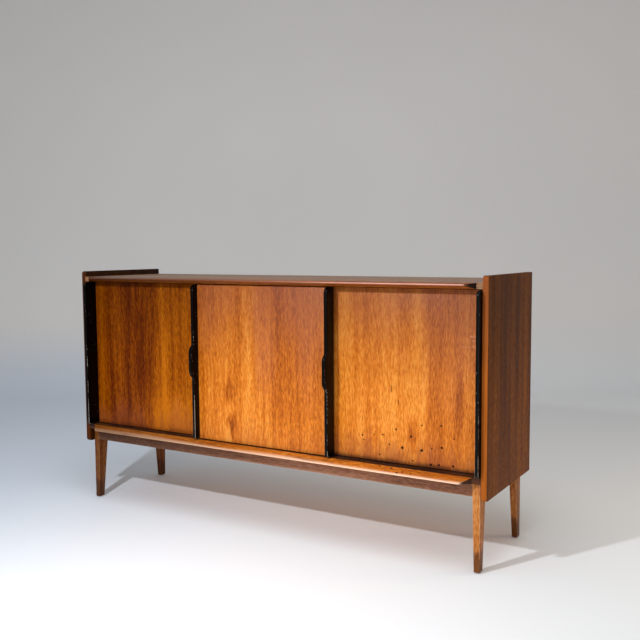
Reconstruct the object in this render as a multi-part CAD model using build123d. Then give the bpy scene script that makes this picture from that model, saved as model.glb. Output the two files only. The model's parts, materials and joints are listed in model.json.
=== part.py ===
"""Sideboard with three sliding doors, built as separate pieces of joinery.

Millimetres. +X to the right seen from the front, +Y to the back, +Z up.
The origin is on the floor, under the middle of the overall width and depth.
"""
from build123d import *
import os

os.makedirs("parts", exist_ok=True)

# Overall size
WIDTH = 1600.0
HEIGHT = 870.0
GABLE_DEPTH = 408.0
HANDLE_REACH = 34.0  # the door handles' swelling, ahead of the gables' front edges

# Boards
GABLE_THICK = 18.0
BOARD_THICK = 18.0
PARTITION_THICK = 16.0
SHELF_THICK = 16.0
BACK_THICK = 6.0
BACK_INSET = 2.0  # the back panel sits this far inside the gables' rear edges
BACK_MARGIN = 1.0  # and this far short of the boards' outer faces
GABLE_BOTTOM = 222.0
GABLE_FRONT_ROUND = 10.0
GABLE_REAR_ROUND = 3.0
TOP_RECESS = 20.0  # the gables stand this far above the top board
FLOOR_BOARD_TOP = 288.0
EDGE_EASE = 1.0

# Nosings along the front edges of the two boards
NOSE_REACH = 31.0
NOSE_BLUNT = 2.5
TOP_NOSE_DROP = 4.0
TOP_NOSE_END = 764.0  # where the 45 degree end cut meets the board, from the middle
BOTTOM_NOSE_DROP = 14.0
BOTTOM_NOSE_END = 755.0

# Under-frame
FRAME_SETBACK = 16.0  # leg and rail faces behind the gables' front and rear edges
FRAME_SIDE_GAP = 7.0  # outer side of a leg to the inner face of a gable
RAIL_BOTTOM = 228.0
RAIL_THICK = 22.0
LEG_TOP_WIDTH = 24.0
LEG_FOOT_WIDTH = 18.0
LEG_TOP_DEPTH = 46.0
LEG_FOOT_DEPTH = 26.0
LEG_TAPER_TOP = 222.0  # below this height the leg tapers
GLIDE_RADIUS = 8.0
GLIDE_THICK = 3.0
GLIDE_NAIL_RADIUS = 1.5
GLIDE_NAIL_LENGTH = 15.0
BLOCK_SIDE = 48.0
BLOCK_HEIGHT = 30.0
FRAME_DOWEL_HALF = 12.0
LOWER_DOWEL_RISE = 12.0  # lower frame dowel above the underside of the rails
UPPER_DOWEL_DROP = 10.0  # upper frame dowel below the bottom board

# Sliding doors
DOOR_WIDTH = 544.0
DOOR_THICK = 18.0
FIN_THICK = 11.0
FRONT_TRACK_INSET = 6.0  # front face of the centre door behind the gables' front edges
TRACK_PITCH = 28.0  # front track to rear track
DOOR_GAP = 3.0  # above and below a door
GABLE_CLEARANCE = 1.0  # closed door to gable
CENTRE_DOOR_OFFSET = 12.0  # where the centre door stands at rest, right of the middle
LEFT_DOOR_AJAR = 5.0  # the left door stands this far short of closed at rest
FIN_PROUD = 19.0  # front edge of a fin ahead of the gables' front edges
FIN_TOP_ROUND = 16.0
FIN_BOTTOM_ROUND = 10.0
SWELL_CENTRE = 563.0  # height of the middle of the hand grip
SWELL_FLAT = 84.0
SWELL_RAMP = 16.0

# Door running gear
GROOVE_WIDTH = 7.0
UPPER_GROOVE_DEPTH = 8.0
LOWER_GROOVE_DEPTH = 6.0
RUN_THICK = 6.0  # thickness of a glide and diameter of a guide pin
GLIDE_LENGTH = 40.0
GLIDE_IN_DOOR = 8.0
GLIDE_FLOAT = 0.3  # glide to the bottom of its groove
PIN_IN_DOOR = 16.0
PIN_IN_GROOVE = 5.0
RUNNER_INSET = 70.0  # glides and guide pins from the ends of the door panel

# Inside
PARTITION_OFFSET = 262.0
PARTITION_FRONT_GAP = 6.0  # behind the rear doors
SHELF_HEIGHT = 552.0  # underside
SHELF_FRONT_GAP = 12.0
SHELF_BACK_GAP = 3.0
SHELF_END_GAP = 1.0
PEG_RADIUS = 3.0
PEG_IN_WALL = 8.0
PEG_OUT = 9.0
PEG_INSET = 45.0  # from the front and back edges of a wall

# Fastenings
DOWEL_RADIUS = 4.0
DOWEL_IN_GABLE = 12.0
DOWEL_IN_BOARD = 22.0
DOWELS_PER_JOINT = 4
DOWEL_END_MARGIN = 50.0
FIN_DOWEL_MARGIN = 60.0
PARTITION_DOWELS = 3
PARTITION_DOWEL_MARGIN = 40.0
SMALL_DOWEL_RADIUS = 3.0
SMALL_DOWEL_HALF = 7.0
SCREW_RADIUS = 2.0
SCREW_HEAD_RADIUS = 4.0
SCREW_HEAD_THICK = 2.5
FRAME_SCREW_BITE = 11.0
NAIL_RADIUS = 1.0
NAIL_LENGTH = 20.0
NAIL_SPACING = 130.0
NAIL_MARGIN = 30.0
SCREW_REACH = 600.0  # outermost rail screws from the middle
SCREWS_PER_RAIL = 4

# Planes worked out from the sizes above
FRONT = HANDLE_REACH - (GABLE_DEPTH + HANDLE_REACH) / 2
BACK = FRONT + GABLE_DEPTH
INNER = WIDTH / 2 - GABLE_THICK
TOP = HEIGHT - TOP_RECESS
CEILING = TOP - BOARD_THICK
FLOOR_BOARD_BOTTOM = FLOOR_BOARD_TOP - BOARD_THICK
BACK_PANEL_FRONT = BACK - BACK_INSET - BACK_THICK
FRAME_FRONT = FRONT + FRAME_SETBACK
FRAME_BACK = BACK - FRAME_SETBACK
FRAME_SIDE = INNER - FRAME_SIDE_GAP
FRONT_TRACK = FRONT + FRONT_TRACK_INSET + DOOR_THICK / 2
REAR_TRACK = FRONT_TRACK + TRACK_PITCH
DOOR_BOTTOM = FLOOR_BOARD_TOP + DOOR_GAP
DOOR_TOP = CEILING - DOOR_GAP
PARTITION_FRONT = REAR_TRACK + DOOR_THICK / 2 + PARTITION_FRONT_GAP


def block(x0, x1, y0, y1, z0, z1):
    """A plain box between two corners."""
    middle = Pos((x0 + x1) / 2, (y0 + y1) / 2, (z0 + z1) / 2)
    return middle * Box(x1 - x0, y1 - y0, z1 - z0)


def bar(outline, x0, x1):
    """A side-view outline, as (y, z) points, run from x0 to x1."""
    face = Plane.YZ.offset(x0) * Polygon(*outline, align=None)
    return extrude(face, amount=x1 - x0, dir=(1, 0, 0))


def rod_x(x0, x1, y, z, radius):
    return Pos((x0 + x1) / 2, y, z) * Rot(0, 90, 0) * Cylinder(radius, x1 - x0)


def rod_y(x, y0, y1, z, radius):
    return Pos(x, (y0 + y1) / 2, z) * Rot(90, 0, 0) * Cylinder(radius, y1 - y0)


def rod_z(x, y, z0, z1, radius):
    return Pos(x, y, (z0 + z1) / 2) * Cylinder(radius, z1 - z0)


def spread(first, last, count):
    """Evenly spaced places from first to last."""
    step = (last - first) / (count - 1)
    return [first + step * index for index in range(count)]


def cut(piece, tools):
    for tool in tools:
        piece -= tool
    return piece


def save(name, *solids):
    shape = solids[0] if len(solids) == 1 else Compound(children=list(solids))
    export_step(shape, f"parts/{name}.step")


# ---- Fastenings and pegs, placed first so that their holes can be cut ----

def board_dowels(side, height):
    """Dowels that join one end of a horizontal board to a gable."""
    inside = side * (INNER - DOWEL_IN_BOARD)
    outside = side * (INNER + DOWEL_IN_GABLE)
    low, high = sorted((inside, outside))
    places = spread(FRONT + DOWEL_END_MARGIN, BACK - DOWEL_END_MARGIN, DOWELS_PER_JOINT)
    return [rod_x(low, high, y, height, DOWEL_RADIUS) for y in places]


def partition_dowels(side):
    """Dowels that stand in the boards, above and below a partition."""
    first = PARTITION_FRONT + PARTITION_DOWEL_MARGIN
    last = BACK_PANEL_FRONT - PARTITION_DOWEL_MARGIN
    dowels = []
    for y in spread(first, last, PARTITION_DOWELS):
        for face in (FLOOR_BOARD_TOP, CEILING):
            bottom = face - SMALL_DOWEL_HALF
            top = face + SMALL_DOWEL_HALF
            dowels.append(rod_z(side * PARTITION_OFFSET, y, bottom, top, SMALL_DOWEL_RADIUS))
    return dowels


def wall_pegs(wall_face, direction):
    """Two pegs in the wall face at wall_face, pointing into the bay along direction."""
    buried = wall_face - direction * PEG_IN_WALL
    free = wall_face + direction * PEG_OUT
    low, high = sorted((buried, free))
    height = SHELF_HEIGHT - PEG_RADIUS
    places = (PARTITION_FRONT + PEG_INSET, BACK_PANEL_FRONT - PEG_INSET)
    return [rod_x(low, high, y, height, PEG_RADIUS) for y in places]


def panel_nails():
    """Nails through the back panel into the edges of the two boards."""
    nails = []
    count = int(2 * INNER / NAIL_SPACING) + 1
    for height in (FLOOR_BOARD_TOP - BOARD_THICK / 2, TOP - BOARD_THICK / 2):
        for x in spread(NAIL_MARGIN - INNER, INNER - NAIL_MARGIN, count):
            y_end = BACK_PANEL_FRONT + BACK_THICK
            nails.append(rod_y(x, y_end - NAIL_LENGTH, y_end, height, NAIL_RADIUS))
    return nails


def frame_screws():
    """Screws driven up through the rails into the bottom board."""
    rail_middle_front = FRAME_FRONT + RAIL_THICK / 2
    rail_middle_back = FRAME_BACK - RAIL_THICK / 2
    screws = []
    for y in (rail_middle_front, rail_middle_back):
        for x in spread(-SCREW_REACH, SCREW_REACH, SCREWS_PER_RAIL):
            shank = rod_z(x, y, RAIL_BOTTOM, FLOOR_BOARD_BOTTOM + FRAME_SCREW_BITE, SCREW_RADIUS)
            head = rod_z(x, y, RAIL_BOTTOM, RAIL_BOTTOM + SCREW_HEAD_THICK, SCREW_HEAD_RADIUS)
            screws.append(shank + head)
    return screws


left_top_dowels = board_dowels(-1, TOP - BOARD_THICK / 2)
left_bottom_dowels = board_dowels(-1, FLOOR_BOARD_TOP - BOARD_THICK / 2)
right_top_dowels = board_dowels(1, TOP - BOARD_THICK / 2)
right_bottom_dowels = board_dowels(1, FLOOR_BOARD_TOP - BOARD_THICK / 2)
left_partition_dowels = partition_dowels(-1)
right_partition_dowels = partition_dowels(1)
partition_faces = (PARTITION_OFFSET - PARTITION_THICK / 2, PARTITION_OFFSET + PARTITION_THICK / 2)
left_gable_pegs = wall_pegs(-INNER, 1)
left_bay_pegs = wall_pegs(-partition_faces[1], -1)
centre_left_pegs = wall_pegs(-partition_faces[0], 1)
centre_right_pegs = wall_pegs(partition_faces[0], -1)
right_bay_pegs = wall_pegs(partition_faces[1], 1)
right_gable_pegs = wall_pegs(INNER, -1)
nails = panel_nails()
screws = frame_screws()


# ---- Case ----

def gable(side, fittings):
    """A side panel, rounded at its front corners, that stands above the top board."""
    low, high = sorted((side * INNER, side * WIDTH / 2))
    panel = block(low, high, FRONT, BACK, GABLE_BOTTOM, HEIGHT)
    corners = panel.edges().filter_by(Axis.X).sort_by(Axis.Y)
    panel = fillet(corners[:2], GABLE_FRONT_ROUND)
    corners = panel.edges().filter_by(Axis.X).sort_by(Axis.Y)
    panel = fillet(corners[-2:], GABLE_REAR_ROUND)
    outer_face = panel.faces().sort_by(Axis.X)[-1 if side > 0 else 0]
    panel = chamfer(outer_face.edges(), EDGE_EASE)
    return cut(panel, fittings)


def track_grooves(z0, z1):
    """The two grooves that the doors run in, as bodies to cut away."""
    half = GROOVE_WIDTH / 2
    return [block(-INNER, INNER, y - half, y + half, z0, z1) for y in (FRONT_TRACK, REAR_TRACK)]


def top_board():
    board = block(-INNER, INNER, FRONT, BACK_PANEL_FRONT, CEILING, TOP)
    board = cut(board, track_grooves(CEILING, CEILING + UPPER_GROOVE_DEPTH))
    board = cut(board, left_top_dowels + right_top_dowels)
    return cut(board, left_partition_dowels + right_partition_dowels)


def bottom_board():
    board = block(-INNER, INNER, FRONT, BACK_PANEL_FRONT, FLOOR_BOARD_BOTTOM, FLOOR_BOARD_TOP)
    board = cut(board, track_grooves(FLOOR_BOARD_TOP - LOWER_GROOVE_DEPTH, FLOOR_BOARD_TOP))
    board = cut(board, left_bottom_dowels + right_bottom_dowels)
    return cut(board, left_partition_dowels + right_partition_dowels)


def nosing(outline, end):
    """A moulding along a board's front edge, its ends cut at 45 degrees in plan."""
    strip = bar(outline, -end, end)
    nose = FRONT - NOSE_REACH
    plan = [(-end, FRONT), (end, FRONT), (end - NOSE_REACH, nose), (NOSE_REACH - end, nose)]
    limits = extrude(Plane.XY * Polygon(*plan, align=None), amount=HEIGHT, dir=(0, 0, 1))
    return strip & limits


def top_nosing():
    nose = FRONT - NOSE_REACH
    nose_top = TOP - TOP_NOSE_DROP
    outline = [(FRONT, TOP), (nose, nose_top), (nose, nose_top - NOSE_BLUNT), (FRONT, CEILING)]
    return nosing(outline, TOP_NOSE_END)


def bottom_nosing():
    """A wedge with a level underside, standing out over the front rail."""
    nose = FRONT - NOSE_REACH
    nose_top = FLOOR_BOARD_TOP - BOTTOM_NOSE_DROP
    outline = [(FRONT, FLOOR_BOARD_TOP), (nose, nose_top), (nose, nose_top - NOSE_BLUNT)]
    outline += [(FRONT, FLOOR_BOARD_BOTTOM)]
    return nosing(outline, BOTTOM_NOSE_END)


def back_panel():
    low = FLOOR_BOARD_BOTTOM + BACK_MARGIN
    high = TOP - BACK_MARGIN
    panel = block(-INNER, INNER, BACK_PANEL_FRONT, BACK_PANEL_FRONT + BACK_THICK, low, high)
    return cut(panel, nails)


def partition(side, fittings):
    x = side * PARTITION_OFFSET
    half = PARTITION_THICK / 2
    board = block(x - half, x + half, PARTITION_FRONT, BACK_PANEL_FRONT, FLOOR_BOARD_TOP, CEILING)
    return cut(board, fittings)


def shelf(left_wall, right_wall):
    front = PARTITION_FRONT + SHELF_FRONT_GAP
    back = BACK_PANEL_FRONT - SHELF_BACK_GAP
    top = SHELF_HEIGHT + SHELF_THICK
    left = left_wall + SHELF_END_GAP
    right = right_wall - SHELF_END_GAP
    board = block(left, right, front, back, SHELF_HEIGHT, top)
    front_edges = board.faces().sort_by(Axis.Y)[0].edges().filter_by(Axis.X)
    return chamfer(front_edges, EDGE_EASE)


save("left_gable", gable(-1, left_top_dowels + left_bottom_dowels + left_gable_pegs))
save("right_gable", gable(1, right_top_dowels + right_bottom_dowels + right_gable_pegs))
save("top_board", cut(top_board(), nails))
save("top_nosing", top_nosing())
save("bottom_nosing", bottom_nosing())
save("back_panel", back_panel())
save("left_partition", partition(-1, left_partition_dowels + left_bay_pegs + centre_left_pegs))
save("right_partition", partition(1, right_partition_dowels + right_bay_pegs + centre_right_pegs))
save("left_shelf", shelf(-INNER, -partition_faces[1]))
save("centre_shelf", shelf(-partition_faces[0], partition_faces[0]))
save("right_shelf", shelf(partition_faces[1], INNER))
gable_pegs = left_gable_pegs + right_gable_pegs
bay_pegs = left_bay_pegs + centre_left_pegs + centre_right_pegs + right_bay_pegs
save("shelf_pegs", *gable_pegs, *bay_pegs)
bottom_dowels = left_bottom_dowels + right_bottom_dowels
save("case_dowels", *left_top_dowels, *right_top_dowels, *bottom_dowels)
save("partition_dowels", *left_partition_dowels, *right_partition_dowels)
save("back_panel_nails", *nails)


# ---- Under-frame ----

def leg(side, end):
    """A leg that narrows downwards on its inner faces. end is -1 at the front, 1 at the back."""
    outer_x = side * FRAME_SIDE
    outer_y = FRAME_FRONT if end < 0 else FRAME_BACK

    def section(height, width, depth):
        x_middle = outer_x - side * width / 2
        y_middle = outer_y - end * depth / 2
        return Plane.XY.offset(height) * Pos(x_middle, y_middle) * Rectangle(width, depth)

    upright = loft([section(LEG_TAPER_TOP, LEG_TOP_WIDTH, LEG_TOP_DEPTH),
                    section(GLIDE_THICK, LEG_FOOT_WIDTH, LEG_FOOT_DEPTH)])
    head = extrude(section(LEG_TAPER_TOP, LEG_TOP_WIDTH, LEG_TOP_DEPTH),
                   amount=FLOOR_BOARD_BOTTOM - LEG_TAPER_TOP)
    return upright + head


def foot_centre(side, end):
    """The middle of a leg's foot, seen from below."""
    x = side * (FRAME_SIDE - LEG_FOOT_WIDTH / 2)
    y_edge = FRAME_FRONT if end < 0 else FRAME_BACK
    return x, y_edge - end * LEG_FOOT_DEPTH / 2


def foot_glide(side, end):
    x, y = foot_centre(side, end)
    disc = rod_z(x, y, 0, GLIDE_THICK, GLIDE_RADIUS)
    return disc + rod_z(x, y, GLIDE_THICK, GLIDE_NAIL_LENGTH, GLIDE_NAIL_RADIUS)


def rail_back(end):
    """The inner face of the front or rear rail."""
    return FRAME_FRONT + RAIL_THICK if end < 0 else FRAME_BACK - RAIL_THICK


def leg_back(end):
    """The face of the legs that the side rails meet."""
    return FRAME_FRONT + LEG_TOP_DEPTH if end < 0 else FRAME_BACK - LEG_TOP_DEPTH


def corner_block(side, end):
    """A block that fills the angle behind a leg, against both rails."""
    leg_side = side * (FRAME_SIDE - LEG_TOP_WIDTH)
    rail_side = side * (FRAME_SIDE - RAIL_THICK)
    corners = [(leg_side - side * BLOCK_SIDE, rail_back(end)), (leg_side, rail_back(end))]
    corners += [(leg_side, leg_back(end)), (rail_side, leg_back(end))]
    corners += [(rail_side, leg_back(end) - end * BLOCK_SIDE)]
    plan = Plane.XY.offset(FLOOR_BOARD_BOTTOM - BLOCK_HEIGHT) * Polygon(*corners, align=None)
    return extrude(plan, amount=BLOCK_HEIGHT, dir=(0, 0, 1))


def block_screw(side, end):
    """A screw through a corner block, up into the bottom board."""
    x = side * (FRAME_SIDE - LEG_TOP_WIDTH - BLOCK_SIDE / 4)
    y = leg_back(end) - end * BLOCK_SIDE / 4
    bottom = FLOOR_BOARD_BOTTOM - BLOCK_HEIGHT
    shank = rod_z(x, y, bottom, FLOOR_BOARD_BOTTOM + FRAME_SCREW_BITE, SCREW_RADIUS)
    return shank + rod_z(x, y, bottom, bottom + SCREW_HEAD_THICK, SCREW_HEAD_RADIUS)


def rail_dowels(side, end):
    """Two dowels from a leg into each of the rails that meet it."""
    heights = (RAIL_BOTTOM + LOWER_DOWEL_RISE, FLOOR_BOARD_BOTTOM - UPPER_DOWEL_DROP)
    leg_side = side * (FRAME_SIDE - LEG_TOP_WIDTH)
    low, high = sorted((leg_side - side * FRAME_DOWEL_HALF, leg_side + side * FRAME_DOWEL_HALF))
    y = (FRAME_FRONT if end < 0 else FRAME_BACK) - end * RAIL_THICK / 2
    across = [rod_x(low, high, y, z, SMALL_DOWEL_RADIUS) for z in heights]
    front, back = sorted((leg_back(end) - FRAME_DOWEL_HALF, leg_back(end) + FRAME_DOWEL_HALF))
    x = side * (FRAME_SIDE - RAIL_THICK / 2)
    along = [rod_y(x, front, back, z, SMALL_DOWEL_RADIUS) for z in heights]
    return across + along


def end_rail(end, fittings):
    y0, y1 = sorted((FRAME_FRONT if end < 0 else FRAME_BACK, rail_back(end)))
    x = FRAME_SIDE - LEG_TOP_WIDTH
    return cut(block(-x, x, y0, y1, RAIL_BOTTOM, FLOOR_BOARD_BOTTOM), fittings)


def side_rail(side, fittings):
    x0, x1 = sorted((side * FRAME_SIDE, side * (FRAME_SIDE - RAIL_THICK)))
    rail = block(x0, x1, leg_back(-1), leg_back(1), RAIL_BOTTOM, FLOOR_BOARD_BOTTOM)
    return cut(rail, fittings)


def middle_bearer():
    half = RAIL_THICK / 2
    return block(-half, half, rail_back(-1), rail_back(1), RAIL_BOTTOM, FLOOR_BOARD_BOTTOM)


corners = [(side, end) for side in (-1, 1) for end in (-1, 1)]
corner_names = {
    (-1, -1): "front_left", (1, -1): "front_right", (-1, 1): "rear_left", (1, 1): "rear_right",
}
dowels_at = {corner: rail_dowels(*corner) for corner in corners}
all_rail_dowels = [dowel for corner in corners for dowel in dowels_at[corner]]
block_screws = [block_screw(*corner) for corner in corners]
glides = [foot_glide(*corner) for corner in corners]

for corner in corners:
    leg_piece = cut(leg(*corner), dowels_at[corner] + glides)
    save(corner_names[corner] + "_leg", leg_piece)
save("foot_glides", *glides)
save("front_rail", end_rail(-1, all_rail_dowels + screws))
save("rear_rail", end_rail(1, all_rail_dowels + screws))
save("left_side_rail", side_rail(-1, all_rail_dowels))
save("right_side_rail", side_rail(1, all_rail_dowels))
save("middle_bearer", middle_bearer())
save("corner_blocks", *[cut(corner_block(*corner), block_screws) for corner in corners])
save("frame_screws", *screws, *block_screws)
save("rail_dowels", *all_rail_dowels)
save("bottom_board", cut(cut(bottom_board(), nails), screws + block_screws))


# ---- Sliding doors ----

def fin(x0, x1, back, with_grip):
    """The upright black lipping on a door's edge, proud of the door, its front corners rounded."""
    front = FRONT - FIN_PROUD
    board = block(x0, x1, front, back, DOOR_BOTTOM, DOOR_TOP)
    front_corners = board.faces().sort_by(Axis.Y)[0].edges().filter_by(Axis.X).sort_by(Axis.Z)
    board = fillet(front_corners[-1], FIN_TOP_ROUND)
    front_corners = board.faces().sort_by(Axis.Y)[0].edges().filter_by(Axis.X).sort_by(Axis.Z)
    board = fillet(front_corners[0], FIN_BOTTOM_ROUND)
    if with_grip:
        board += grip(x0, x1, front)
    return board


def grip(x0, x1, front):
    """A flat-topped swelling of the fin's front edge, for the fingers."""
    crest = FRONT - HANDLE_REACH
    low = SWELL_CENTRE - SWELL_FLAT / 2
    high = SWELL_CENTRE + SWELL_FLAT / 2
    outline = [(front, low - SWELL_RAMP), (crest, low), (crest, high), (front, high + SWELL_RAMP)]
    swelling = bar(outline, x0, x1)
    crest_edges = swelling.faces().sort_by(Axis.Y)[0].edges().filter_by(Axis.X)
    return fillet(crest_edges, SWELL_RAMP / 2)


def door(name, left, track, fin_sides, with_grip):
    """One sliding door with its fins, dowels, nylon glides below and guide pins above."""
    right = left + DOOR_WIDTH
    panel_left = left + FIN_THICK if -1 in fin_sides else left
    panel_right = right - FIN_THICK if 1 in fin_sides else right
    front = track - DOOR_THICK / 2
    back = track + DOOR_THICK / 2

    dowels = []
    for edge_side in fin_sides:
        edge = panel_left if edge_side < 0 else panel_right
        low = edge - SMALL_DOWEL_HALF
        high = edge + SMALL_DOWEL_HALF
        heights = spread(DOOR_BOTTOM + FIN_DOWEL_MARGIN, DOOR_TOP - FIN_DOWEL_MARGIN, DOWELS_PER_JOINT)
        dowels += [rod_x(low, high, track, height, SMALL_DOWEL_RADIUS) for height in heights]

    runner_places = (panel_left + RUNNER_INSET, panel_right - RUNNER_INSET)
    half_run = RUN_THICK / 2
    glide_bottom = FLOOR_BOARD_TOP - LOWER_GROOVE_DEPTH + GLIDE_FLOAT
    lower_glides = []
    guide_pins = []
    for x in runner_places:
        x0 = x - GLIDE_LENGTH / 2
        x1 = x + GLIDE_LENGTH / 2
        glide_top = DOOR_BOTTOM + GLIDE_IN_DOOR
        lower_glides.append(block(x0, x1, track - half_run, track + half_run, glide_bottom, glide_top))
        pin_bottom = DOOR_TOP - PIN_IN_DOOR
        pin_top = CEILING + PIN_IN_GROOVE
        guide_pins.append(rod_z(x, track, pin_bottom, pin_top, half_run))

    panel = block(panel_left, panel_right, front, back, DOOR_BOTTOM, DOOR_TOP)
    save(name + "_panel", cut(panel, dowels + lower_glides + guide_pins))
    save(name + "_dowels", *dowels)
    save(name + "_glides", *lower_glides)
    save(name + "_guide_pins", *guide_pins)

    for edge_side in fin_sides:
        fin_left = left if edge_side < 0 else panel_right
        side_name = "_left" if edge_side < 0 else "_right"
        fin_name = name + (side_name if len(fin_sides) > 1 else "") + "_fin"
        save(fin_name, cut(fin(fin_left, fin_left + FIN_THICK, back, with_grip), dowels))


closed_edge = INNER - GABLE_CLEARANCE
door("left_door", LEFT_DOOR_AJAR - closed_edge, REAR_TRACK, (-1,), False)
door("centre_door", CENTRE_DOOR_OFFSET - DOOR_WIDTH / 2, FRONT_TRACK, (-1, 1), True)
door("right_door", closed_edge - DOOR_WIDTH, REAR_TRACK, (1,), False)
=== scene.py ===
"""Looks of the sideboard: worn wood, black lacquered door fins, steel and nylon fittings."""
import json
import math

import bmesh
import bpy
from mathutils import Matrix, Vector


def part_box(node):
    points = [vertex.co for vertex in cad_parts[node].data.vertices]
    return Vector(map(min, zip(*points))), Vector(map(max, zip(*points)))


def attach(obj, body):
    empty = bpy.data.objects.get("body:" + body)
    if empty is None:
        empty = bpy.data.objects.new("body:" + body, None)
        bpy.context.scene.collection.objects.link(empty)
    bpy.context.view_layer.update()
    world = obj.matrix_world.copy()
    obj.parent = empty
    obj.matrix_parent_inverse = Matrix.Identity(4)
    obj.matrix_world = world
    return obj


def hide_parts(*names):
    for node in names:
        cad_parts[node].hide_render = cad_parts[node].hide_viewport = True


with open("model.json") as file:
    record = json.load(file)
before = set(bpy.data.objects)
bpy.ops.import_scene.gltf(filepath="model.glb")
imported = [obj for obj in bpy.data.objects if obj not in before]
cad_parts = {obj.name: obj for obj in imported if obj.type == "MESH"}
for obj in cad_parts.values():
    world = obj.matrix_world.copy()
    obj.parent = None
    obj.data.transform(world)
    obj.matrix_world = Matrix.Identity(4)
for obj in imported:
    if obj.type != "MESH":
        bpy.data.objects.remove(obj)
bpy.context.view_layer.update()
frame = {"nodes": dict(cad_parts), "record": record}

MM = 0.001
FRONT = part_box("right_gable")[0].y  # the gables' front edges
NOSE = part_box("bottom_nosing")[0].y  # the front of both nosings


# ---- Shader arithmetic ----

class Wire:
    """One output socket. Arithmetic on it adds Math nodes to its material."""

    def __init__(self, paint, socket):
        self.paint = paint
        self.socket = socket

    def maths(self, operation, *values):
        return self.paint.node("Math", {"operation": operation}, dict(enumerate(values)))

    def __add__(self, other):
        return self.maths("ADD", self, other)

    def __radd__(self, other):
        return self.maths("ADD", other, self)

    def __sub__(self, other):
        return self.maths("SUBTRACT", self, other)

    def __rsub__(self, other):
        return self.maths("SUBTRACT", other, self)

    def __mul__(self, other):
        return self.maths("MULTIPLY", self, other)

    def __rmul__(self, other):
        return self.maths("MULTIPLY", other, self)

    def __truediv__(self, other):
        return self.maths("DIVIDE", self, other)

    def __rtruediv__(self, other):
        return self.maths("DIVIDE", other, self)

    def __abs__(self):
        return self.maths("ABSOLUTE", self)

    def sine(self):
        return self.maths("SINE", self)

    def most(self, other):
        return self.maths("MAXIMUM", self, other)

    def ramp(self, low, high, first, last):
        """first below low, last above high, smooth between."""
        settings = {"interpolation_type": "SMOOTHSTEP", "clamp": True}
        return self.paint.node("MapRange", settings, {0: self, 1: low, 2: high, 3: first, 4: last})

    def rise(self, low, high):
        return self.ramp(low, high, 0.0, 1.0)

    def fall(self, low, high):
        return self.ramp(low, high, 1.0, 0.0)


class Paint:
    """A material under construction."""

    def __init__(self, name):
        self.material = bpy.data.materials.new(name)
        self.material.use_nodes = True
        self.tree = self.material.node_tree
        self.surface = self.tree.nodes["Principled BSDF"]

    def put(self, socket, value):
        if isinstance(value, Wire):
            self.tree.links.new(value.socket, socket)
        else:
            socket.default_value = value

    def node(self, kind, settings, sockets, output=0):
        """Adds a node: its settings first, a ramp's stops among them, then its sockets."""
        made = self.tree.nodes.new("ShaderNode" + kind)
        for name, value in settings.items():
            if name == "stops":
                ramp = made.color_ramp.elements
                while len(ramp) < len(value):
                    ramp.new(0.5)
                for element, (place, colour) in zip(ramp, value):
                    element.position = place
                    element.color = colour
            else:
                setattr(made, name, value)
        for name, value in sockets.items():
            self.put(made.inputs[name], value)
        return Wire(self, made.outputs[output])

    def place(self):
        """Object coordinates, as three wires."""
        where = self.node("TexCoord", {}, {}, "Object")
        return [self.node("SeparateXYZ", {}, {0: where}, axis) for axis in "XYZ"]

    def point(self, x, y, z):
        return self.node("CombineXYZ", {}, {0: x, 1: y, 2: z})

    def noise(self, where, scale, detail=2.0, roughness=0.5):
        sockets = {"Vector": where, "Scale": scale, "Detail": detail, "Roughness": roughness}
        return self.node("TexNoise", {}, sockets, "Fac")

    def mix(self, factor, first, second, blend="MIX"):
        settings = {"data_type": "RGBA", "blend_type": blend, "clamp_factor": True}
        return self.node("Mix", settings, {0: factor, 6: first, 7: second}, 2)

    def multiplied(self, colour, multiplier):
        """Multiplies a colour by another, used for stains and for painted shade."""
        return self.mix(1.0, colour, multiplier, "MULTIPLY")

    def attribute(self, name):
        return self.node("Attribute", {"attribute_name": name}, {}, "Fac")

    def finish(self, colour, roughness, height=None, depth=0.0, **constants):
        """Connects the surface. constants are set on the shader's own sockets."""
        self.put(self.surface.inputs["Base Color"], colour)
        self.put(self.surface.inputs["Roughness"], roughness)
        if height is not None:
            bump = self.node("Bump", {}, {"Strength": 1.0, "Distance": depth, "Height": height})
            self.put(self.surface.inputs["Normal"], bump)
        for name, value in constants.items():
            self.surface.inputs[name.replace("_", " ")].default_value = value
        return self.material


def rgb(red, green, blue):
    return (red, green, blue, 1.0)


def tint(red, green, blue):
    """A colour given in screen values from 0 to 255."""
    return rgb(*[(value / 255) ** 2.2 for value in (red, green, blue)])


# ---- Colours ----

# Woods, from dark to light figure.
ORANGE_WOOD = [tint(100, 38, 4), tint(166, 82, 14), tint(212, 118, 34), tint(236, 152, 64)]
# Brown wood for the left door: darker veneer, and partly painted shade, as the light falls off
# towards the left.
BROWN_WOOD = [tint(64, 24, 1), tint(106, 46, 2), tint(150, 76, 6), tint(188, 104, 18)]
NOSING_WOOD = [tint(88, 36, 6), tint(148, 76, 18), tint(194, 110, 36), tint(220, 142, 64)]
RAIL_WOOD = [tint(66, 40, 28), tint(108, 70, 50), tint(146, 98, 74), tint(176, 126, 98)]
DARK_WOOD = [tint(36, 17, 2), tint(78, 40, 6), tint(116, 62, 10), tint(160, 92, 18)]
TOP_WOOD = [tint(70, 42, 24), tint(100, 66, 42), tint(128, 90, 60), tint(150, 112, 80)]
LEG_WOOD = [tint(66, 30, 8), tint(128, 68, 24), tint(182, 110, 50), tint(220, 156, 96)]
INNER_WOOD = [tint(120, 80, 46), tint(150, 106, 66), tint(172, 128, 84), tint(190, 148, 104)]

# Finish rubbed thin on the arrises, and painted highlights along the noses of the nosings.
PALE_RUB = tint(222, 168, 132)
GABLE_RUB = tint(120, 72, 34)
NOSING_RUB_AND_HIGHLIGHT = tint(238, 190, 160)
TOP_NOSING_RUB_AND_HIGHLIGHT = tint(150, 96, 64)
RAIL_RUB = tint(186, 140, 112)
NOSE_HIGHLIGHT = tint(244, 200, 168)
TOP_NOSE_HIGHLIGHT = tint(240, 176, 160)
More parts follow.
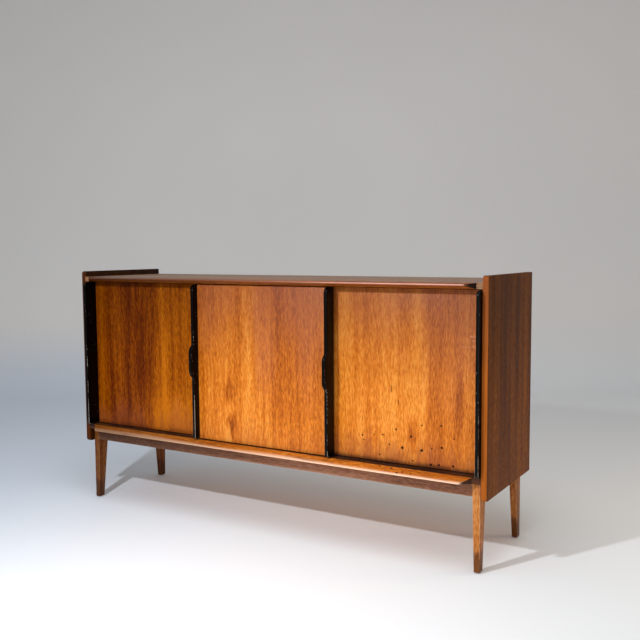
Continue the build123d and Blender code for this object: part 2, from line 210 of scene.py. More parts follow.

# Wear and dirt on the doors, with a painted reflection and painted shade.
PAINTED_REFLECTION = tint(176, 104, 78)
BRUISE = tint(158, 84, 54)
GRIME = tint(58, 32, 22)
SCUFF = tint(236, 176, 140)
WORM_HOLE = tint(34, 16, 10)
WHITE = rgb(1.0, 1.0, 1.0)
PAINTED_TOP_SHADE = rgb(0.56, 0.55, 0.64)

# Wear, dirt and painted shade on the case and its frame.
# Nosing ends: darker end grain, and darker still as painted shade on ends that face away from the
# light.
NOSING_END_GRAIN_AND_SHADE = tint(62, 34, 14)
TOP_NOSING_END_GRAIN_AND_SHADE = tint(44, 24, 12)
NOSING_SMEAR = tint(84, 44, 18)
NOSING_HOLE = tint(40, 18, 8)
TRACK_SHADE = tint(48, 30, 25)
FOOT_DIRT = tint(58, 30, 14)
GABLE_TOP_SHADE = tint(58, 34, 20)
LIPPING_DARK = tint(116, 55, 14)
LIPPING_LIGHT = tint(192, 106, 38)
LIPPING_TOP_SHADE = tint(112, 60, 34)
# Painted shade for the left end, where the light falls off.
LEFT_SHADE = rgb(0.34, 0.30, 0.24)
LEFT_GABLE_SHADE = rgb(0.22, 0.20, 0.20)
TOP_NOSING_STAIN = rgb(0.62, 0.56, 0.55)

# Fittings.
LACQUER_BLACK = tint(4, 4, 5)
LACQUER_CHIPPED = tint(168, 158, 146)
ZINC = rgb(0.55, 0.55, 0.56)
DARK_NYLON = rgb(0.045, 0.035, 0.03)

# Backdrop.
FLOOR_COLOURS = [rgb(0.86, 0.89, 0.93), rgb(0.90, 0.92, 0.94)]
# Painted cool light on the left of the floor.
FLOOR_COOL_LIGHT_LEFT = rgb(0.72, 0.80, 0.92)
WALL_COLOURS = [rgb(0.88, 0.86, 0.84), rgb(0.93, 0.91, 0.885)]


# ---- Wood ----

# For each grain direction: the axes across the face, through the board and along the grain.
GRAIN_AXES = {"X": (1, 2, 0), "Y": (0, 2, 1), "Z": (0, 1, 2)}

# Layers of figure: squeeze along the grain, then the noise's scale, detail and roughness.
DRIFT = (0.3, 4.5, 2.0, 0.5)
BANDS = (0.03, 30.0, 2.0, 0.5)
STREAKS = (0.06, 95.0, 2.0, 0.6)
FLECKS = (0.22, 250.0, 2.0, 0.6)
THREADS = (0.08, 600.0, 2.0, 0.6)
WANDER = (0.4, 6.0, 1.0, 0.5)
PORES = (0.075, 620.0, 1.0, 0.4)

RING_PITCH = 330.0
RING_TONE = 0.030
TONE_BASE = 1.07
GRAIN_DEPTH = 0.0003
COAT_ROUGHNESS = 0.25


class Grain:
    """The figure of sliced wood at a point: tone runs from 0, dark, to 1, light."""

    def __init__(self, paint, place, direction, seed, heart=0.0, figure=1.0):
        across, through, along = [place[axis] for axis in GRAIN_AXES[direction]]
        shifted = across + seed

        def layer(squeeze, scale, detail, roughness):
            where = paint.point(shifted, through, along * squeeze)
            return paint.noise(where, scale, detail, roughness)

        self.drift = layer(*DRIFT)
        bands = layer(*BANDS)
        streaks = layer(*STREAKS)
        flecks = layer(*FLECKS)
        self.threads = layer(*THREADS)
        self.pores = layer(*PORES).rise(0.60, 0.70)
        off_heart = across - heart + (layer(*WANDER) - 0.5) * 0.10
        arch = off_heart * off_heart * 6.0 - along * 0.12 + through * 0.5 + self.drift * 0.12
        rings = (arch * RING_PITCH + streaks * 3.0).sine()
        coarse = self.drift * 0.60 + bands * 0.85 + streaks * 0.48
        fine = flecks * 1.00 + self.threads * 0.45 + rings * (RING_TONE * figure)
        self.tone = coarse + fine - TONE_BASE
        self.height = self.threads * 0.5 + flecks * 0.4 - self.pores * 0.8 + rings * 0.05


def figured(paint, tone, stops):
    """Colours from dark to light wood, at even steps of tone."""
    places = [index / (len(stops) - 1) for index in range(len(stops))]
    return paint.node("ValToRGB", {"stops": list(zip(places, stops))}, {0: tone})


def rubbed(paint, colour, pale, patches):
    """Finish rubbed pale along the eased arrises. On the nosings the arris mark also covers the
    nose, where this paints a highlight.
    """
    pale_mask = (paint.attribute("arris") * 0.6 + patches * 0.8).rise(0.72, 1.0)
    return paint.mix(pale_mask * 0.8, colour, pale)


def solid_wood(name, direction, stops, seed, pale, end_grain=None, gloss=0.42, coat=0.0,
               specular=0.15, figure=1.0, shade=None):
    """Solid or veneered wood of one tone. shade can darken it by place."""
    paint = Paint(name)
    place = paint.place()
    grain = Grain(paint, place, direction, seed, figure=figure)
    colour = figured(paint, grain.tone, stops)
    colour = paint.mix(grain.pores * 0.45, colour, stops[0])
    # End faces: darker end grain, and painted shade.
    if end_grain:
        colour = paint.mix(paint.attribute("end_grain"), colour, end_grain)
    colour = rubbed(paint, colour, pale, grain.drift)
    if shade:
        colour = shade(paint, place, colour)
    rough = gloss + grain.pores * 0.15 + grain.drift * 0.14 - 0.07
    return paint.finish(colour, rough, grain.height, GRAIN_DEPTH, Coat_Weight=coat,
                        Coat_Roughness=COAT_ROUGHNESS, Specular_IOR_Level=specular)


# ---- Door veneers ----

# Worm holes in the right door: millimetres across and up from its lower left corner, and radius.
WORM_HOLES = [
    (144, 75, 2.0), (149, 61, 1.6), (186, 81, 1.3), (215, 84, 1.8), (261, 105, 2.2),
    (238, 56, 1.8), (282, 50, 3.1), (204, 20, 1.8), (311, 88, 2.5), (347, 126, 1.6),
    (346, 49, 3.1), (379, 59, 1.7), (409, 131, 2.0), (411, 65, 2.8), (450, 96, 1.7),
    (317, 14, 1.8), (376, 9, 2.6), (402, 11, 2.4), (447, 13, 2.6),
]
WORM_HOLE_DEPTH = 6.0  # against the height of the grain
# Two short scores in the right door: millimetres across and up, and half length.
SCORES = [(244, 229, 12), (268, 190, 9)]
# Pale scuffs on the right door, in metres: back from its right edge, up, and half length.
SCUFFS = [(0.022, 0.402, 0.018), (0.030, 0.388, 0.022), (0.040, 0.371, 0.024)]
# Worm holes in the bottom nosing: millimetres right of the middle, back from its nose, and radius.
NOSING_HOLES = [(462, 26, 2.2), (502, 24, 2.4), (526, 9, 2.4), (542, 15, 2.0), (569, 13, 1.8)]


def door_veneer(door, stops, seed, heart, joint, blend, leaves, reflection, dirt, marks):
    """Two veneer leaves, left and right of a joint. Dirt gathers low down; higher up lies a painted
    reflection, and painted shade darkens the top.

    marks are patches of lighter or darker veneer: strength, then middle and width across, and
    middle and height up the door, as parts of its width and height.
    """
    low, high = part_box(door + "_panel")
    left_leaf, right_leaf = leaves
    paint = Paint(door.replace("_", " ") + " veneer")
    place = paint.place()
    x, y, z = place
    grain = Grain(paint, place, "Z", seed, heart=low.x + heart)
    across = (x - low.x) / (high.x - low.x)
    up = (z - low.z) / (high.z - low.z)
    waver = paint.noise(paint.point(x, y, z * 0.3), 9.0)
    frayed = paint.noise(paint.point(x, y, z * 0.12), 70.0)
    side = (across + (frayed - 0.5) * 0.05).rise(joint - blend, joint + blend)
    tone = grain.tone + (side * (right_leaf - left_leaf) + left_leaf)
    for strength, centre, width, middle, height in marks:
        wide = abs(across + (waver - 0.5) * 0.10 - centre).fall(0.0, width / 2)
        tall = abs(up + (frayed - 0.5) * 0.20 - middle).fall(0.0, height / 2)
        tone = tone + wide * tall * (frayed * 1.2 + 0.4) * strength
    colour = figured(paint, tone, stops)
    colour = paint.mix(grain.pores * 0.4, colour, stops[0])
    # A painted pinkish reflection, higher up the door.
    reflection_mask = (up * 0.8 + waver * 0.7 + side * 0.25).rise(0.75, 1.45)
    colour = paint.mix(reflection_mask * reflection, colour, PAINTED_REFLECTION)
    # Painted shade: the door darkens towards its top.
    colour = paint.multiplied(colour, paint.mix(up.rise(0.15, 1.05), WHITE, PAINTED_TOP_SHADE))
    bruise = (up * 6.5 + (waver - 0.5) * 2.4 + (frayed - 0.5) * 1.6).fall(0.0, 1.2)
    colour = paint.mix(bruise * (dirt * 0.6), colour, BRUISE)
    crust = (up * 34.0 + (waver - 0.5) * 1.6 + (grain.threads - 0.5) * 1.2).fall(0.15, 1.15)
    grime = crust * (dirt * 0.8)
    colour = paint.mix(grime, colour, GRIME)
    return paint, place, grain, colour, grime


def sound_door(veneer, specular=0.16):
    """Finishes a door that has no worm holes."""
    paint, _, grain, colour, grime = veneer
    return finish_door(paint, grain, colour, grime, grain.height, specular)


def wormed_door(veneer, door, specular=0.16):
    """Finishes the door that is wormed, scored and scuffed."""
    paint, place, grain, colour, grime = veneer
    x, y, z = place
    low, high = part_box(door + "_panel")
    holes = holes_at(paint, x, z, WORM_HOLES, low.x, low.z)
    scores = scores_at(x, z, low.x, low.z)
    smear = paint.noise(paint.point(x * 0.5, y, z), 120.0)
    for back, up, half in SCUFFS:
        level = abs(z - (low.z + up)).fall(0.001, 0.004)
        streak = level * abs(x - (high.x - back)).fall(half * 0.5, half)
        colour = paint.mix(streak * smear.rise(0.35, 0.6) * 0.35, colour, SCUFF)
    colour = paint.mix(holes.most(scores * 0.8), colour, WORM_HOLE)
    height = grain.height - holes * WORM_HOLE_DEPTH
    return finish_door(paint, grain, colour, grime, height, specular)


def finish_door(paint, grain, colour, grime, height, specular):
    rough = 0.40 + grain.pores * 0.15 + grain.drift * 0.12 - 0.06 + grime * 0.2
    return paint.finish(colour, rough, height, GRAIN_DEPTH, Specular_IOR_Level=specular)


def holes_at(paint, x, z, holes, left, foot):
    """1 inside any of the holes, which lie in the plane of the two wires given."""
    found = None
    for across, up, radius in holes:
        centre = (left + across * MM, 0.0, foot + up * MM)
        sockets = {0: paint.point(x, 0.0, z), 1: centre}
        away = paint.node("VectorMath", {"operation": "DISTANCE"}, sockets, "Value")
        hole = away.fall(radius * MM * 0.9, radius * MM * 1.8)
        found = hole if found is None else found.most(hole)
    return found


def scores_at(x, z, left, foot):
    """1 along any of the upright scores."""
    found = None
    for across, up, half in SCORES:
        narrow = abs(x - (left + across * MM)).fall(0.0008, 0.002)
        line = narrow * abs(z - (foot + up * MM)).fall(half * MM * 0.6, half * MM)
        found = line if found is None else found.most(line)
    return found


# ---- Lacquer and plain fittings ----

LACQUER_DEPTH = 0.0002
MOTTLE_DEPTH = 0.0001


def lacquer(name):
    """Black lacquer, rubbed through along the arrises and chipped here and there."""
    paint = Paint(name)
    x, y, z = paint.place()
    where = paint.point(x, y, z)
    arris = paint.attribute("arris")
    patches = paint.noise(paint.point(x, y, z * 0.35), 34.0, 3.0)
    chips = paint.noise(where, 240.0)
    low_down = z.fall(0.30, 0.75) * 0.20
    pale_mask = (arris * 0.5 + patches * 0.7 + chips * 0.5 + low_down).rise(1.23, 1.30)
    cells = paint.node("TexVoronoi", {}, {"Vector": where, "Scale": 60.0}, "Distance")
    specks = cells.fall(0.05, 0.09)
    colour = paint.mix(pale_mask.most(specks * 0.7), LACQUER_BLACK, LACQUER_CHIPPED)
    rough = 0.26 + patches * 0.14 + pale_mask * 0.4
    return paint.finish(colour, rough, chips * 0.3 - pale_mask, LACQUER_DEPTH, Specular_IOR_Level=0.10)


def plain(name, colour, roughness, metallic=0.0):
    """A plain fitting: a little mottle in tone and gloss."""
    paint = Paint(name)
    x, y, z = paint.place()
    cloud = paint.noise(paint.point(x, y, z), 180.0, 3.0)
    half_tone = rgb(*[value * 0.5 for value in colour[:3]])
    mottled = paint.mix(cloud * 0.5, colour, half_tone)
    return paint.finish(mottled, roughness + cloud * 0.15, cloud, MOTTLE_DEPTH, Metallic=metallic)


# ---- Wear, dirt and painted light and shade, by place ----

def smears(paint, x, y, z):
    """Smears drawn out along the cabinet."""
    return paint.noise(paint.point(x * 0.15, y, z), 60.0, 3.0)


def left_end(x):
    """1 at the left end of the cabinet, 0 towards the right."""
    return x.fall(-0.9, 0.5)


def painted_left_shade(paint, x, colour, multiplier=LEFT_SHADE):
    """Painted shade: the left end of the cabinet is darker than the right, as the light falls off
    towards the left.
    """
    return paint.mix(left_end(x), colour, paint.multiplied(colour, multiplier))


def gable_shade(paint, place, colour):
    """The front edge is lipped in lighter solid wood; painted shade darkens the panel and its
    lipping towards the top, and the left end.
    """
    x, y, z = place
    # Painted shade: darker towards the top.
    colour = paint.mix(z.rise(0.45, 0.85) * 0.45, colour, GABLE_TOP_SHADE)
    streaks = paint.noise(paint.point(x * 3.0, y, z * 0.06), 160.0)
    lipping = paint.mix(streaks, LIPPING_DARK, LIPPING_LIGHT)
    # Painted shade on the lipping, darker towards the top.
    lipping = paint.mix(z.rise(0.5, 0.87) * 0.65, lipping, LIPPING_TOP_SHADE)
    colour = paint.mix(paint.attribute("lipping"), colour, lipping)
    return painted_left_shade(paint, x, colour, LEFT_GABLE_SHADE)


def nosing_shade(paint, place, colour):
    """Wormed towards the right end, with a painted highlight along its nose and painted shade
    towards its left end.
    """
    x, y, z = place
    smear = smears(paint, x, y, z)
    colour = paint.mix(smear.rise(0.56, 0.70) * 0.5, colour, NOSING_SMEAR)
    # Painted highlight along the nose, fainter to the left.
    nose_highlight = y.fall(NOSE + 0.002, NOSE + 0.007) * (smear * 0.8 + 0.35)
    colour = paint.mix(nose_highlight * (x.rise(-0.9, 0.4) * 0.8 + 0.2), colour, NOSE_HIGHLIGHT)
    hole = holes_at(paint, x, y, NOSING_HOLES, 0.0, NOSE)
    return paint.mix(hole, painted_left_shade(paint, x, colour), NOSING_HOLE)


def top_nosing_shade(paint, place, colour):
    """Dull brown, with a painted highlight along its nose near the right end only, and painted
    shade towards its left end.
    """
    x, y, z = place
    colour = paint.multiplied(colour, TOP_NOSING_STAIN)
    # Painted highlight along the nose, towards the right end.
    nose_highlight = y.fall(NOSE + 0.002, NOSE + 0.006) * x.rise(-0.2, 0.75)
    nose_highlight = nose_highlight * (smears(paint, x, y, z) * 0.8 + 0.3)
    return painted_left_shade(paint, x, paint.mix(nose_highlight, colour, TOP_NOSE_HIGHLIGHT))


def track_shade(paint, place, colour):
    """Painted shade darkens the bottom board's front strip, where the doors run in their track."""
    x, y, z = place
    # Painted shade of the track groove, mottled by smears.
    strip = y.fall(FRONT + 0.050, FRONT + 0.075)
    return paint.mix(strip * (smears(paint, x, y, z) * 0.4 + 0.75), colour, TRACK_SHADE)


def foot_shade(paint, place, colour):
    """Scuffs and dirt gather towards the foot; painted shade darkens the left legs and, more, the
    rear legs.
    """
    x, y, z = place
    scuffs = paint.noise(paint.point(x, y, z * 0.5), 70.0, 4.0, 0.6)
    # Painted shade: darker to the left, and the rear legs darker still.
    colour = painted_left_shade(paint, x - y.rise(-0.1, 0.1) * 0.9, colour)
    dirt = (z.fall(0.0, 0.11) * 0.6 + scuffs).rise(0.56, 0.86)
    return paint.mix(dirt * 0.7, colour, FOOT_DIRT)


def rail_shade(paint, place, colour):
    # Painted shade towards the left end.
    return painted_left_shade(paint, place[0], colour)


# ---- Materials ----

case_veneer = solid_wood("case veneer", "Z", DARK_WOOD, 3.1, GABLE_RUB, gloss=0.55,
                         specular=0.08, figure=1.5, shade=gable_shade)
top_veneer = solid_wood("top veneer", "X", TOP_WOOD, 5.7, PALE_RUB, coat=0.06, specular=0.3)
nosing_wood = solid_wood("nosing wood", "X", NOSING_WOOD, 8.2, NOSING_RUB_AND_HIGHLIGHT, NOSING_END_GRAIN_AND_SHADE,
                         gloss=0.36, coat=0.05, specular=0.2, shade=nosing_shade)
top_nosing_wood = solid_wood("top nosing wood", "X", NOSING_WOOD, 8.9, TOP_NOSING_RUB_AND_HIGHLIGHT,
                             TOP_NOSING_END_GRAIN_AND_SHADE, gloss=0.34, specular=0.2, shade=top_nosing_shade)
board_wood = solid_wood("bottom board wood", "X", ORANGE_WOOD, 6.4, PALE_RUB, shade=track_shade)
leg_wood = solid_wood("leg wood", "Z", LEG_WOOD, 1.7, PALE_RUB, shade=foot_shade)
rail_wood = solid_wood("rail wood", "X", RAIL_WOOD, 2.9, RAIL_RUB, shade=rail_shade)
inner_wood = {
    direction: solid_wood("inner wood " + direction, direction, INNER_WOOD, 4.0, PALE_RUB,
                          gloss=0.6, specular=0.2)
    for direction in "XYZ"
}

# The left door's darker wood is partly painted shade.
left_veneer = door_veneer(
    "left_door", BROWN_WOOD, seed=0.3, heart=0.20, joint=0.57, blend=0.06,
    leaves=(-0.15, 0.15), reflection=0.0, dirt=0.55, marks=[
        (-0.10, 0.42, 0.24, 0.52, 0.9), (0.12, 0.62, 0.16, 0.45, 0.9),
        (0.32, 0.65, 0.90, 0.10, 0.5), (0.08, 0.06, 0.12, 0.6, 1.2),
    ])
centre_veneer = door_veneer(
    "centre_door", ORANGE_WOOD, seed=1.1, heart=0.15, joint=0.46, blend=0.02,
    leaves=(0.03, -0.03), reflection=0.45, dirt=0.3, marks=[
        (-0.44, 0.26, 0.08, 0.34, 0.24), (-0.44, 0.28, 0.12, 0.12, 0.20),
        (0.12, 0.50, 1.4, 0.05, 0.5), (0.14, 0.16, 0.26, 0.42, 0.8),
        (-0.12, 0.02, 0.10, 0.7, 1.0), (0.10, 0.42, 0.12, 0.6, 1.0),
    ])
right_veneer = door_veneer(
    "right_door", ORANGE_WOOD, seed=2.6, heart=0.28, joint=0.64, blend=0.03,
    leaves=(0.03, -0.02), reflection=0.40, dirt=0.95, marks=[
        (-0.34, 0.02, 0.10, 0.5, 1.4), (-0.45, 0.60, 0.08, 0.18, 0.3),
        (-0.40, 0.88, 0.07, 0.35, 0.7), (0.14, 0.66, 0.06, 0.5, 1.4),
        (0.10, 0.08, 0.10, 0.6, 1.4),
    ])
door_woods = {
    "left_door": sound_door(left_veneer, specular=0.06),
    "centre_door": sound_door(centre_veneer),
    "right_door": wormed_door(right_veneer, "right_door"),
}
black_lacquer = lacquer("black lacquer")
steel = plain("zinc plated steel", ZINC, roughness=0.35, metallic=1.0)
nylon = plain("nylon", DARK_NYLON, roughness=0.5)


# ---- Mesh helpers ----

SMOOTH_BELOW = math.radians(35)  # faces that meet at less than this are shaded as one
SHARP_ABOVE = math.radians(40)  # edges sharper than this are eased
SAME_PLACE = 1e-5


def slot_of(node):
    for entry in frame["record"]["subparts"]:
        if entry["node"] == node:
            return entry["material_slot"]


def finished(name, mesh, body, material, replaced):
    """Makes the object, rides it on its body and lets it stand for the CAD nodes named."""
    bmesh.ops.recalc_face_normals(mesh, faces=mesh.faces)
    data = bpy.data.meshes.new(name)
    mesh.to_mesh(data)
    mesh.free()
    data.materials.append(material)
    data.polygons.foreach_set("use_smooth", [True] * len(data.polygons))
    data.set_sharp_from_angle(angle=SMOOTH_BELOW)
    piece = bpy.data.objects.new(name, data)
    bpy.context.scene.collection.objects.link(piece)
    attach(piece, body)
    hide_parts(*replaced)
    slot_of(replaced[0])
    return piece


def bevel(mesh, edges, offset, segments):
    return bmesh.ops.bevel(mesh, geom=list(edges), offset=offset, offset_type="OFFSET",
                           segments=segments, profile=0.5, affect="EDGES", clamp_overlap=True,
                           material=-1)


def ease(mesh, offset, segments=3):
    """Rounds every sharp edge and marks the rounding in the attribute named arris."""
    mark = mesh.verts.layers.float.get("arris") or mesh.verts.layers.float.new("arris")
    sharp = [edge for edge in mesh.edges
             if edge.is_manifold and edge.calc_face_angle() > SHARP_ABOVE]
    fresh = set(bevel(mesh, sharp, offset, segments)["faces"])
    for vert in mesh.verts:
        if vert.link_faces and all(face in fresh for face in vert.link_faces):
            vert[mark] = 1.0


def cut_through(mesh, place, normal, **settings):
    """Cuts every face along a plane."""
    everything = list(mesh.verts) + list(mesh.edges) + list(mesh.faces)
    bmesh.ops.bisect_plane(mesh, geom=everything, plane_co=place, plane_no=normal, **settings)


def flag_faces(mesh, name, chosen):
    """Writes 1 in the face attribute of that name where chosen(normal) holds."""
    mesh.normal_update()
    layer = mesh.faces.layers.float.new(name)
    for face in mesh.faces:
        face[layer] = 1.0 if chosen(face.normal) else 0.0


def slab_mesh(low, high):
    """A closed box between two corners."""
    mesh = bmesh.new()
    bmesh.ops.create_cube(mesh, size=1.0)
    bmesh.ops.scale(mesh, vec=high - low, verts=mesh.verts)
    bmesh.ops.translate(mesh, vec=(high + low) / 2, verts=mesh.verts)
    return mesh


def shift_along_x(mesh, grown, length):
    """Moves what an extrusion has just made."""
    moved = [item for item in grown["geom"] if isinstance(item, bmesh.types.BMVert)]
    bmesh.ops.translate(mesh, vec=(length, 0, 0), verts=moved)


def outline_mesh(points, x0, x1):
    """A side-view outline of a few (y, z) points, extruded from x0 to x1."""
    mesh = bmesh.new()
    face = mesh.faces.new([mesh.verts.new((x0, y, z)) for y, z in points])
    shift_along_x(mesh, bmesh.ops.extrude_face_region(mesh, geom=[face]), x1 - x0)
    bmesh.ops.recalc_face_normals(mesh, faces=mesh.faces)
    return mesh


def edges_along_x(mesh, y, z):
    """The lengthwise edges that pass through one point of the side view."""
    return [edge for edge in mesh.edges
            if all(abs(vert.co.y - y) < SAME_PLACE and abs(vert.co.z - z) < SAME_PLACE
                   for vert in edge.verts)]


# ---- Pieces ----

ARRIS = 0.0012  # the usual eased edge
DOOR_ARRIS = 0.0008
SOFT_ARRIS = 0.0016  # legs and fins, which hands and feet rub
NOSING_END_ARRIS = 0.0007
GABLE_FRONT_ROUND = 0.010
FACES_FRONT = -0.6
FACES_SIDEWAYS = 0.3

TOP_NOSE_DROP = 0.004
BOTTOM_NOSE_DROP = 0.014
NOSE_BLUNT = 0.0025
NOSE_HIGHLIGHT_BAND = 0.0015  # how far back from the nose the painted highlight reaches

LEG_TAPER_TOP = 0.222
FOOT_WIDTH = 0.018
FOOT_DEPTH = 0.026

FIN_TOP_ROUND = 0.016
FIN_BOTTOM_ROUND = 0.010
FIN_PROUD = 0.019  # ahead of the gables' front edges
SWELL_CENTRE = 0.563
SWELL_FLAT = 0.084
SWELL_RAMP = 0.016


def slab(name, node, body, material, offset=ARRIS):
    low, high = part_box(node)
    mesh = slab_mesh(low, high)
    ease(mesh, offset)
    return finished(name, mesh, body, material, [node])


def gable(node, material):
    """A side panel with a rounded, lipped front edge."""
    low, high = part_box(node)
    mesh = slab_mesh(low, high)
    front = edges_along_x(mesh, low.y, high.z) + edges_along_x(mesh, low.y, low.z)
    bevel(mesh, front, GABLE_FRONT_ROUND, segments=6)
    ease(mesh, ARRIS)
    bmesh.ops.recalc_face_normals(mesh, faces=mesh.faces)
    flag_faces(mesh, "lipping", lambda normal: normal.y < FACES_FRONT)
    return finished(node + "_veneered", mesh, "cabinet", material, [node])


def nosing(node, board, drop, material):
    """A board's front moulding; its ends are cut at 45 degrees in plan, ahead of the board."""
    low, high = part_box(node)
    board_low, board_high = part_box(board)
    end = high.x
    nose_top = board_high.z - drop
    rounded = [(low.y, nose_top), (low.y, nose_top - NOSE_BLUNT)]
    points = [(FRONT, board_high.z), *rounded, (FRONT, board_low.z)]
    mesh = outline_mesh(points, -end, end)
    nose = edges_along_x(mesh, *rounded[0]) + edges_along_x(mesh, *rounded[1])
    bevel(mesh, nose, ARRIS, segments=3)
    # The nose band is marked as arris, so the nosing's material paints a highlight there.
    mark = mesh.verts.layers.float.new("arris")
    for vert in mesh.verts:
        if vert.co.y < NOSE + NOSE_HIGHLIGHT_BAND:
            vert[mark] = 1.0
    for side in (-1, 1):
        cut_through(mesh, (side * end, FRONT, 0), (side, -1, 0), clear_outer=True, dist=1e-6)
        rim = [edge for edge in mesh.edges if edge.is_boundary]
        bmesh.ops.holes_fill(mesh, edges=rim, sides=0)
    ease(mesh, NOSING_END_ARRIS, segments=2)
    bmesh.ops.dissolve_degenerate(mesh, dist=SAME_PLACE, edges=mesh.edges)
    bmesh.ops.recalc_face_normals(mesh, faces=mesh.faces)
    flag_faces(mesh, "end_grain", lambda normal: abs(normal.x) > FACES_SIDEWAYS)
    return finished(node + "_moulding", mesh, "cabinet", material, [node])


def leg(node, material):
    """Straight on its outer faces; the two inner faces run in towards the foot."""
    low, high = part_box(node)
    side = 1 if high.x > 0 else -1
    end = 1 if high.y > 0 else -1
    outer_x = high.x if side > 0 else low.x
    outer_y = high.y if end > 0 else low.y
    mesh = slab_mesh(low, high)
    cut_through(mesh, (0, 0, LEG_TAPER_TOP), (0, 0, 1))
    for vert in mesh.verts:
        if vert.co.z < low.z + MM:
            if abs(vert.co.x - outer_x) > MM:
                vert.co.x = outer_x - side * FOOT_WIDTH
            if abs(vert.co.y - outer_y) > MM:
                vert.co.y = outer_y - end * FOOT_DEPTH
    ease(mesh, SOFT_ARRIS)
    return finished(node + "_turned_out", mesh, "cabinet", material, [node])


def fin(node, body, gripped, material):
    """The black lipping of a door's edge: rounded front corners and, on the centre door, a grip."""
    low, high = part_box(node)
    front = FRONT - FIN_PROUD
    points = [(high.y, low.z), (front, low.z)]
    swell_low = SWELL_CENTRE - SWELL_FLAT / 2
    swell_high = SWELL_CENTRE + SWELL_FLAT / 2
    if gripped:
        points += [(front, swell_low - SWELL_RAMP), (low.y, swell_low)]
        points += [(low.y, swell_high), (front, swell_high + SWELL_RAMP)]
    points += [(front, high.z), (high.y, high.z)]
    mesh = outline_mesh(points, low.x, high.x)
    bevel(mesh, edges_along_x(mesh, front, high.z), FIN_TOP_ROUND, segments=8)
    bevel(mesh, edges_along_x(mesh, front, low.z), FIN_BOTTOM_ROUND, segments=6)
    if gripped:
        crest = edges_along_x(mesh, low.y, swell_low) + edges_along_x(mesh, low.y, swell_high)
        bevel(mesh, crest, SWELL_RAMP / 2, segments=6)
    ease(mesh, SOFT_ARRIS)
    return finished(node + "_lacquered", mesh, body, material, [node])


# ---- Assembly ----

for side in ("left", "right"):
    gable(side + "_gable", case_veneer)
nosing("top_nosing", "top_board", TOP_NOSE_DROP, top_nosing_wood)
nosing("bottom_nosing", "bottom_board", BOTTOM_NOSE_DROP, nosing_wood)
for corner in ("front_left", "front_right", "rear_left", "rear_right"):
    leg(corner + "_leg", leg_wood)
for node in ("front_rail", "rear_rail"):
    slab(node + "_planed", node, "cabinet", rail_wood)
for node in ("left_side_rail", "right_side_rail", "middle_bearer"):
    slab(node + "_planed", node, "cabinet", inner_wood["Y"])
for node in ("left_shelf", "centre_shelf", "right_shelf"):
    slab(node + "_sanded", node, "cabinet", inner_wood["X"])

for door, veneer in door_woods.items():
    slab(door + "_veneer", door + "_panel", door, veneer, DOOR_ARRIS)
fin("left_door_fin", "left_door", False, black_lacquer)
fin("right_door_fin", "right_door", False, black_lacquer)
fin("centre_door_left_fin", "centre_door", True, black_lacquer)
fin("centre_door_right_fin", "centre_door", True, black_lacquer)

# Nodes that are shown as they are, with these materials.
kept_as_made = {
    "top_board": top_veneer,
    "bottom_board": board_wood,
    "back_panel": inner_wood["X"],
    "left_partition": inner_wood["Z"],
    "right_partition": inner_wood["Z"],
    "corner_blocks": inner_wood["X"],
    "case_dowels": inner_wood["X"],
    "partition_dowels": inner_wood["Z"],
    "rail_dowels": inner_wood["X"],
    "shelf_pegs": steel,
    "back_panel_nails": steel,
    "frame_screws": steel,
    "foot_glides": steel,
}
for door in door_woods:
    kept_as_made[door + "_dowels"] = inner_wood["X"]
    kept_as_made[door + "_glides"] = nylon
    kept_as_made[door + "_guide_pins"] = nylon
for node, material in kept_as_made.items():
    data = frame["nodes"][node].data
    data.materials.clear()
    data.materials.append(material)


# ---- Stage ----

CAMERA_PLACE = (1.5965, -2.4294, 0.9467)
CAMERA_TURN = 31.01  # degrees to the left of straight ahead
CAMERA_TILT = -4.84
CAMERA_ROLL = -0.37
CAMERA_LENS = 46.93
SENSOR_WIDTH = 36.0

FLOOR_FRONT = -8.0
WALL_BACK = 3.2
WALL_HEIGHT = 6.0
SWEEP_RADIUS = 0.8
SWEEP_STEPS = 12
BACKDROP_HALF = 9.0

WORLD_COLOUR = rgb(1.0, 0.97, 0.94)
WORLD_STRENGTH = 0.33

turn = Matrix.Rotation(math.radians(CAMERA_TURN), 4, "Z")


def set_camera():
    view = bpy.data.cameras.new("camera")
    view.lens = CAMERA_LENS
    view.sensor_width = SENSOR_WIDTH
    camera = bpy.data.objects.new("camera", view)
    tilt = Matrix.Rotation(math.radians(90 + CAMERA_TILT), 4, "X")
    roll = Matrix.Rotation(math.radians(CAMERA_ROLL), 4, "Z")
    camera.matrix_world = Matrix.Translation(CAMERA_PLACE) @ turn @ tilt @ roll
    bpy.context.scene.collection.objects.link(camera)
    bpy.context.scene.camera = camera


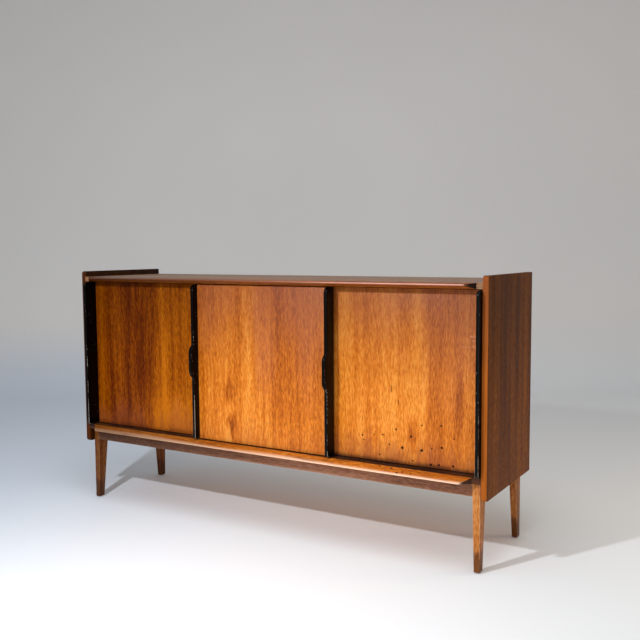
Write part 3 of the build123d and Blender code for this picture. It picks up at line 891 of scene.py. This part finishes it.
def backdrop():
    """A pale floor that sweeps up into a wall, square to the line of sight, with cool light painted
    on the floor's left.
    """
    mesh = bmesh.new()
    line = [(FLOOR_FRONT, 0.0), (WALL_BACK, 0.0), (WALL_BACK, WALL_HEIGHT)]
    front, corner, top = [mesh.verts.new((-BACKDROP_HALF, y, z)) for y, z in line]
    edges = [mesh.edges.new((front, corner)), mesh.edges.new((corner, top))]
    shift_along_x(mesh, bmesh.ops.extrude_edge_only(mesh, edges=edges), 2 * BACKDROP_HALF)
    bevel(mesh, edges_along_x(mesh, WALL_BACK, 0.0), SWEEP_RADIUS, SWEEP_STEPS)
    bmesh.ops.rotate(mesh, cent=(0, 0, 0), matrix=turn.to_3x3(), verts=mesh.verts)
    data = bpy.data.meshes.new("backdrop")
    mesh.to_mesh(data)
    mesh.free()
    data.polygons.foreach_set("use_smooth", [True] * len(data.polygons))
    paint = Paint("pale backdrop")
    x, y, z = paint.place()
    cloud = paint.noise(paint.point(x, y, z), 1.2)
    floor = paint.mix(cloud, *FLOOR_COLOURS)
    # Painted cool light towards the left.
    floor = paint.mix(x.fall(-1.6, 0.2), floor, FLOOR_COOL_LIGHT_LEFT)
    wall = paint.mix(cloud, *WALL_COLOURS)
    data.materials.append(paint.finish(paint.mix(z.rise(0.0, 0.5), floor, wall), 0.8))
    sweep = bpy.data.objects.new("backdrop", data)
    bpy.context.scene.collection.objects.link(sweep)


def lamp(name, place, target, watts, colour, width, height):
    """A soft box that faces its target."""
    light = bpy.data.lights.new(name, "AREA")
    light.energy = watts
    light.color = colour
    light.shape = "RECTANGLE"
    light.size = width
    light.size_y = height
    holder = bpy.data.objects.new(name, light)
    holder.location = place
    holder.rotation_euler = (Vector(target) - Vector(place)).to_track_quat("-Z", "Y").to_euler()
    holder.visible_camera = False
    bpy.context.scene.collection.objects.link(holder)


def set_world():
    world = bpy.data.worlds.new("studio")
    bpy.context.scene.world = world
    world.use_nodes = True
    background = world.node_tree.nodes["Background"]
    background.inputs["Color"].default_value = WORLD_COLOUR
    background.inputs["Strength"].default_value = WORLD_STRENGTH
    bpy.context.scene.view_settings.view_transform = "Standard"


set_camera()
backdrop()
lamp("key", place=(-0.08, -1.784, 1.57), target=(0.30, 0.0, 0.30), watts=29.0,
     colour=(0.93, 0.97, 1.0), width=0.07, height=0.07)
lamp("low front", place=(0.85, -2.3, 0.40), target=(0.2, 0.0, 0.40), watts=9.0,
     colour=(1.0, 0.96, 0.90), width=1.2, height=0.5)
lamp("overhead", place=(1.0, -1.2, 3.6), target=(1.3, -1.0, 0.0), watts=45.0,
     colour=(0.95, 0.97, 1.0), width=2.4, height=1.6)
lamp("warm side", place=(2.4, 1.0, 0.9), target=(1.5, 0.3, 0.0), watts=6.0,
     colour=(1.0, 0.74, 0.36), width=0.5, height=0.5)
set_world()
